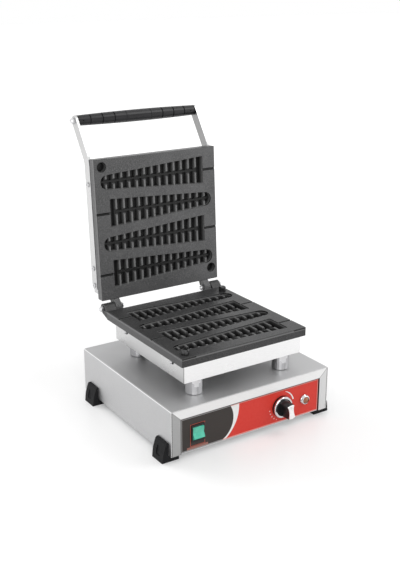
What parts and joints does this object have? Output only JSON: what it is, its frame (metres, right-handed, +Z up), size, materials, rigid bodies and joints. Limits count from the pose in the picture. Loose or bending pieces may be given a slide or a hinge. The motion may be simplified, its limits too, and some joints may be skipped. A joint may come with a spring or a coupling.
{
  "type": "waffle stick maker",
  "caption": "Countertop waffle stick maker with ribbed stick-mould plates, a hinged lid with a barrel grip, and a front control panel.",
  "frame": {"origin": "bottom centre of the bounding box, lid open, on the surface that the feet stand on", "axes": "+Z up, +X to the right along the control panel as its user sees it, -Y out of the control panel"},
  "size_m": [0.344, 0.4116, 0.5035],
  "materials": {
    "case_steel": "fine brushed",
    "bright_steel": "bright brushed",
    "brushed_steel": "brushed",
    "galvanised_steel": "dull galvanised",
    "zinc_steel": "zinc plated",
    "chrome": "polished",
    "coated_casting": "matte dark non-stick coat",
    "heater_sheath": "oxidised",
    "panel_print": "printed charcoal, white and red",
    "grip_plastic": "satin black",
    "black_plastic": "satin black",
    "rocker_plastic": "translucent green",
    "silver_trim": "bright silver",
    "amber_lens": "amber",
    "nylon": "natural",
    "rubber": "matte black"
  },
  "bodies": {
    "base": {"case_shell": "case_steel", "front_frame": "bright_steel", "base_pan": "galvanised_steel", "control_panel": "panel_print", "lower_housing": "bright_steel", "lower_plate": "coated_casting", "lower_heater": "heater_sheath", "lower_clamp_sheet": "galvanised_steel", "lower_clamp_screw": "zinc_steel", "hinge_pin_left": "zinc_steel", "hinge_pin_right": "zinc_steel", "hinge_nut_left": "chrome", "hinge_nut_right": "chrome", "locating_peg_left": "coated_casting", "locating_peg_right": "coated_casting", "switch_body": "black_plastic", "thermostat_body": "galvanised_steel", "pilot_lamp_body": "chrome", "pilot_lamp_lens": "amber_lens", "cable_gland": "black_plastic", "gland_nut": "black_plastic", "terminal_block": "nylon", "foot_front_left": "rubber", "column_front_left": "chrome", "column_bolt_front_left": "zinc_steel", "foot_front_right": "rubber", "column_front_right": "chrome", "column_bolt_front_right": "zinc_steel", "foot_rear_left": "rubber", "column_rear_left": "chrome", "column_bolt_rear_left": "zinc_steel", "foot_rear_right": "rubber", "column_rear_right": "chrome", "column_bolt_rear_right": "zinc_steel", "plate_screw_rear_left": "zinc_steel", "plate_screw_rear_right": "zinc_steel", "plate_screw_front_left": "zinc_steel", "plate_screw_front_right": "zinc_steel"},
    "lid": {"upper_plate": "coated_casting", "upper_cover": "case_steel", "upper_heater": "heater_sheath", "upper_clamp_sheet": "galvanised_steel", "upper_clamp_screw": "zinc_steel", "arm_left": "brushed_steel", "arm_right": "brushed_steel", "handle_grip": "grip_plastic", "handle_tie_rod": "zinc_steel", "handle_nut_left": "chrome", "handle_nut_right": "chrome", "arm_screw_low_left": "zinc_steel", "arm_screw_low_right": "zinc_steel", "arm_screw_middle_left": "zinc_steel", "arm_screw_middle_right": "zinc_steel", "arm_screw_high_left": "zinc_steel", "arm_screw_high_right": "zinc_steel"},
    "rocker": {"rocker_button": "rocker_plastic"},
    "knob": {"thermostat_shaft": "zinc_steel", "thermostat_knob": "black_plastic", "knob_ring": "chrome", "knob_cap": "silver_trim"}
  },
  "joints": [
    {"name": "lid_hinge", "type": "hinge", "parent": "base", "child": "lid", "pos_m": [0, 0.11112, 0.1657], "axis": [1, 0, 0], "range_deg": [0, 93.2]},
    {"name": "rocker_tilt", "type": "hinge", "parent": "base", "child": "rocker", "pos_m": [-0.109, -0.1754, 0.042], "axis": [1, 0, 0], "range_deg": [0, 18]},
    {"name": "knob_turn", "type": "hinge", "parent": "base", "child": "knob", "pos_m": [0.0605, -0.1792, 0.042], "axis": [0, 1, 0], "range_deg": [0, 280]}
  ]
}
